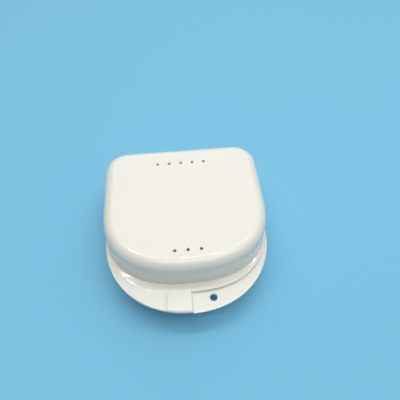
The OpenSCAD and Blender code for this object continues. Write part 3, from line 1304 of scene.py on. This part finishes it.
@dataclass
class Hinges:
    """Two hinges at the back: lid knuckles with stop heels, base knuckles, and pins."""

    shape: CaseShape
    plastic: GlossPlastic
    base_plastic: GlossPlastic
    steel: DrawnSteel
    hinge_x: float = 16.0
    lid_w: float = 6.0
    base_w: float = 3.5
    gap: float = 0.3
    radius: float = 2.6
    axis_out: float = 3.2
    pin_r: float = 1.0
    pin_run: float = 0.05
    pin_press: float = 0.01
    pin_sink: float = 0.3
    pin_chamfer: float = 0.2
    pin_steps: int = 48
    open_angle: float = 118.0
    stop_gap: float = 0.15
    web_angle: float = 65.0
    web_turn: float = 8.0
    soft: float = 0.18
    bore_mouth: float = 0.1
    inset: float = 0.01
    heel_inset: float = 0.02

    @property
    def axis_y(self) -> float:
        """Place of the hinge axis."""
        return self.shape.back_y + self.axis_out

    @property
    def sides(self) -> tuple[tuple[str, float], ...]:
        """Name and place of each hinge."""
        return ("left", -self.hinge_x), ("right", self.hinge_x)

    def _outline(self, half: Half) -> list[Pair]:
        """Side view of a knuckle about its axis: barrel and web.

        Args:
            half: The half that the knuckle belongs to.

        Returns:
            The outline's points.
        """
        r = self.radius - self.shape.edge / 2
        into = self.axis_out + self.shape.wall / 2
        angle = math.radians(self.web_angle)
        run = r * math.cos(angle) + into
        foot = r * math.sin(angle) + run / math.tan(angle)
        clear = self.shape.seam_gap / 2
        low = math.degrees(math.asin(clear / self.radius))
        end = self.web_angle + self.web_turn
        points = round_path((0, 0), self.radius, -180 + low, end, HOLE_STEPS)
        points += [(-into, foot), (-into, clear)]
        return points if half is Half.LID else [(y, -z) for y, z in points]

    def _heel(self) -> list[Pair]:
        """Side view of the heel that stops the opened lid.

        Returns:
            The outline's points about the hinge axis.
        """
        back, low, high = self.stop_gap - self.axis_out, -self.radius, -self.stop_gap
        a = math.radians(self.open_angle)
        return [
            (y * math.cos(a) - z * math.sin(a), y * math.sin(a) + z * math.cos(a))
            for y, z in ((back, low), (0, low), (0, high), (back, high))
        ]

    def _prism(self, bm: BMesh, points: Sequence[Pair], x: float, width: float) -> None:
        """Extrude a side view along the hinge axis.

        Args:
            bm: The mesh to add it to.
            points: The side view about the axis.
            x: The middle of its width.
            width: Its width.
        """
        left, y0, z0 = x - width / 2, self.axis_y, self.shape.seam_z
        face = bm.faces.new([bm.verts.new((left, y0 + y, z0 + z)) for y, z in points])
        made = bmesh.ops.extrude_face_region(bm, geom=[face])["geom"]
        moved = [g for g in made if isinstance(g, BMVert)]
        bmesh.ops.translate(bm, vec=Vector((width, 0, 0)), verts=moved)

    def _knuckle(self, name: str, x: float, half: Half) -> Piece:
        """One knuckle, bored for the pin, with softened edges.

        Args:
            name: Its name.
            x: Its middle.
            half: The half that it belongs to.

        Returns:
            The knuckle.
        """
        if half is Half.LID:
            width, bore, finish = self.lid_w, self.pin_r + self.pin_run, self.plastic
        else:
            width, bore, finish = self.base_w, self.pin_r - self.pin_press, self.base_plastic
        blank = Blank(name)
        self._prism(blank.mesh, self._outline(half), x, width - 2 * self.inset)
        blank.clean()
        blank.soften(50, self.soft, 2)
        made = blank.finished(finish)
        drill(made, [self._bore(x, width, bore, finish)])
        return made

    def _bore(self, x: float, width: float, radius: float, finish: GlossPlastic) -> Piece:
        """Cutter of a pin bore through one knuckle, with softened mouths.

        Args:
            x: The knuckle's middle.
            width: The knuckle's width.
            radius: Radius of the bore.
            finish: Finish of the bore's wall.

        Returns:
            The cutter.
        """
        size = (radius, -width / 2, width / 2, self.bore_mouth)
        cutter = hole_cutter("bore_cutter", Vector((0, 0, 0)), *size, finish)
        turn = Matrix.Rotation(math.radians(90), 4, "Y")
        place = Matrix.Translation(Vector((x, self.axis_y, self.shape.seam_z)) * MM)
        cutter.data.transform(place @ turn)
        return cutter

    def lid_knuckles(self) -> list[Piece]:
        """Both lid knuckles, each with its heel.

        Returns:
            The knuckles and heels.
        """
        found = []
        for side, x in self.sides:
            found.append(self._knuckle(f"lid_knuckle_{side}", x, Half.LID))
            heel = Blank(f"lid_heel_{side}")
            self._prism(heel.mesh, self._heel(), x, self.lid_w - 2 * self.heel_inset)
            heel.clean()
            heel.soften(60, self.soft, 2)
            made = heel.finished(self.plastic)
            drill(made, [self._bore(x, self.lid_w + 1, self.pin_r + self.pin_run, self.plastic)])
            found.append(made)
        return found

    def base_knuckles(self) -> list[Piece]:
        """The four base knuckles.

        Returns:
            The knuckles.
        """
        found = []
        step = self.lid_w / 2 + self.gap + self.base_w / 2
        for side, x in self.sides:
            for place, at in (("outer", x - step), ("inner", x + step)):
                found.append(self._knuckle(f"base_knuckle_{side}_{place}", at, Half.BOWL))
        return found

    def pin(self, side: str, x: float) -> Piece:
        """One hinge pin with chamfered ends.

        Args:
            side: Which hinge.
            x: Its middle.

        Returns:
            The pin.
        """
        length = self.lid_w + 2 * (self.gap + self.base_w - self.pin_sink)
        blank = Blank(f"pin_{side}")
        bm = blank.mesh
        c, half, r = self.pin_chamfer, length / 2, self.pin_r
        end = [(0, half), (r - c, half), (r, half - c)]
        path = [(out, -along) for out, along in end] + end[::-1]
        verts = [bm.verts.new((along, 0, out)) for out, along in path]
        edges = [bm.edges.new(pair) for pair in zip(verts, verts[1:])]
        bmesh.ops.spin(
            bm,
            geom=verts + edges,
            cent=(0, 0, 0),
            axis=(1, 0, 0),
            angle=2 * math.pi,
            steps=self.pin_steps,
            use_merge=True,
        )
        blank.clean()
        bmesh.ops.translate(bm, vec=Vector((x, self.axis_y, self.shape.seam_z)), verts=bm.verts)
        return blank.finished(self.steel, 30)

    def build(self) -> list[Piece]:
        """Build both hinges' pieces and dress them.

        Returns:
            The pieces.
        """
        found = [dress(piece, "lid") for piece in self.lid_knuckles()]
        found += [dress(piece, "base") for piece in self.base_knuckles()]
        for side, x in self.sides:
            pin = dress(self.pin(side, x), "base")
            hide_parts(f"hinge_pin_{side}")
            found.append(pin)
        return found


# The studio


@dataclass(frozen=True)
class Lamp:
    """A rectangular light that faces the case."""

    name: str
    place: Triple
    size: Pair
    watts: float
    colour: Triple = (0.91, 0.93, 0.975)


LAMPS = (
    Lamp("ceiling", (0.15, 0.15, 1.0), (2.1, 1.9), 14.8),
    Lamp("middle", (0.1, -0.3, 1.0), (0.9, 0.4), 2.0),
    Lamp("strip", (0.0, 0.21, 0.9), (1.1, 0.025), 2.1, (1.0, 1.0, 0.98)),
    Lamp("glint", (-0.17, 1.03, 0.59), (0.3, 0.2), 0.45, (1.0, 1.0, 0.98)),
)


@dataclass
class Studio:
    """Pale blue floor, glowing wall, soft lights and the camera, which is in millimetres."""

    floor: PaperFloor
    wall: GlowWall
    floor_size: float = 12.0
    floor_drop: float = 0.00002
    wall_radius: float = 6.0
    wall_height: float = 3.8
    wall_steps: int = 64
    lamps: tuple[Lamp, ...] = LAMPS
    aim: Triple = (0.0, 0.0, 0.01)
    glow: tuple[float, ...] = (1.0, 0.85, 0.55, 1.0)
    glow_strength: float = 0.02
    azimuth: float = -4.601
    elevation: float = 52.306
    roll: float = -0.908
    distance: float = 200.1
    target: Triple = (8.221, 13.246, 14.5)
    focal: float = 400.0
    picture_w: float = 400.0
    sensor_w: float = 36.0
    clip: Pair = (0.01, 20.0)

    def camera(self) -> None:
        """Make the camera that sees the case as the photograph does."""
        az, el, roll = (math.radians(v) for v in (self.azimuth, self.elevation, self.roll))
        back = Vector((math.sin(az) * math.cos(el), -math.cos(az) * math.cos(el), math.sin(el)))
        right0 = Vector((0, 0, 1)).cross(back).normalized()
        up0 = back.cross(right0)
        right = math.cos(roll) * right0 + math.sin(roll) * up0
        up = -math.sin(roll) * right0 + math.cos(roll) * up0
        turn = Matrix((right, up, back)).transposed().to_4x4()
        data = bpy.data.cameras.new("camera")
        data.sensor_width = self.sensor_w
        data.lens = self.sensor_w * self.focal / self.picture_w
        data.clip_start, data.clip_end = self.clip
        made = link("camera", data)
        place = (Vector(self.target) + back * self.distance) * MM
        made.matrix_world = Matrix.Translation(place) @ turn
        bpy.context.scene.camera = made

    @staticmethod
    def _stage(name: str, bm: BMesh, finish: Finish) -> None:
        """Turn a mesh into an object of the surroundings.

        Args:
            name: Its name.
            bm: The mesh, in metres.
            finish: Its finish.
        """
        data = bpy.data.meshes.new(name)
        bm.to_mesh(data)
        bm.free()
        data.materials.append(finish.material())
        made = link(name, data)

    def ground(self) -> None:
        """Make the floor, just below the foot."""
        bm = bmesh.new()
        bmesh.ops.create_grid(bm, x_segments=2, y_segments=2, size=self.floor_size)
        bmesh.ops.translate(bm, vec=Vector((0, 0, -self.floor_drop)), verts=bm.verts)
        self._stage("floor", bm, self.floor)

    def backdrop(self) -> None:
        """Make the pale wall round the floor, which glows softly and hides the dark behind it."""
        bm = bmesh.new()
        r, height, n = self.wall_radius, self.wall_height, self.wall_steps
        bmesh.ops.create_cone(bm, segments=n, radius1=r, radius2=r, depth=height, cap_ends=False)
        bmesh.ops.translate(bm, vec=Vector((0, 0, height / 2)), verts=bm.verts)
        for face in bm.faces:
            face.smooth = True
        self._stage("backdrop", bm, self.wall)

    def _hang(self, lamp: Lamp) -> None:
        """Hang a lamp and turn it towards the case.

        Args:
            lamp: The lamp.
        """
        data = bpy.data.lights.new(lamp.name, "AREA")
        data.shape = "RECTANGLE"
        data.size, data.size_y = lamp.size
        data.energy = lamp.watts
        data.color = lamp.colour
        made = link(lamp.name, data)
        made.location = lamp.place
        made.rotation_mode = "QUATERNION"
        ahead = Vector(self.aim) - Vector(lamp.place)
        made.rotation_quaternion = ahead.to_track_quat("-Z", "Y")

    def lights(self) -> None:
        """Set the surrounding glow and hang the lamps."""
        scene = bpy.context.scene
        scene.view_settings.view_transform = "Standard"
        world = bpy.data.worlds.new("glow")
        world.use_nodes = True
        background = world.node_tree.nodes["Background"]
        background.inputs["Color"].default_value = self.glow
        background.inputs["Strength"].default_value = self.glow_strength
        scene.world = world
        for lamp in self.lamps:
            self._hang(lamp)


def main() -> None:
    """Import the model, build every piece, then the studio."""
    logging.basicConfig(level=logging.INFO, format="%(name)s: %(message)s")
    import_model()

    shape = CaseShape()
    lid_plastic = GlossPlastic("lid_gloss")
    base_plastic = GlossPlastic("base_gloss", foot_wear=True)
    steel = DrawnSteel("pin_steel")

    lid = Lid(shape, lid_plastic)
    bowl = Bowl(shape, base_plastic)
    hinges = Hinges(shape, lid_plastic, base_plastic, steel)
    for part in (lid, bowl, hinges):
        for piece in part.build():
            faces = len(piece.data.polygons)
            LOG.info("%s: %s, %d faces", type(part).__name__, piece.name, faces)

    studio = Studio(PaperFloor("floor_paper"), GlowWall("wall_glow"))
    studio.ground()
    studio.backdrop()
    studio.lights()
    studio.camera()


if __name__ == "__main__":
    main()
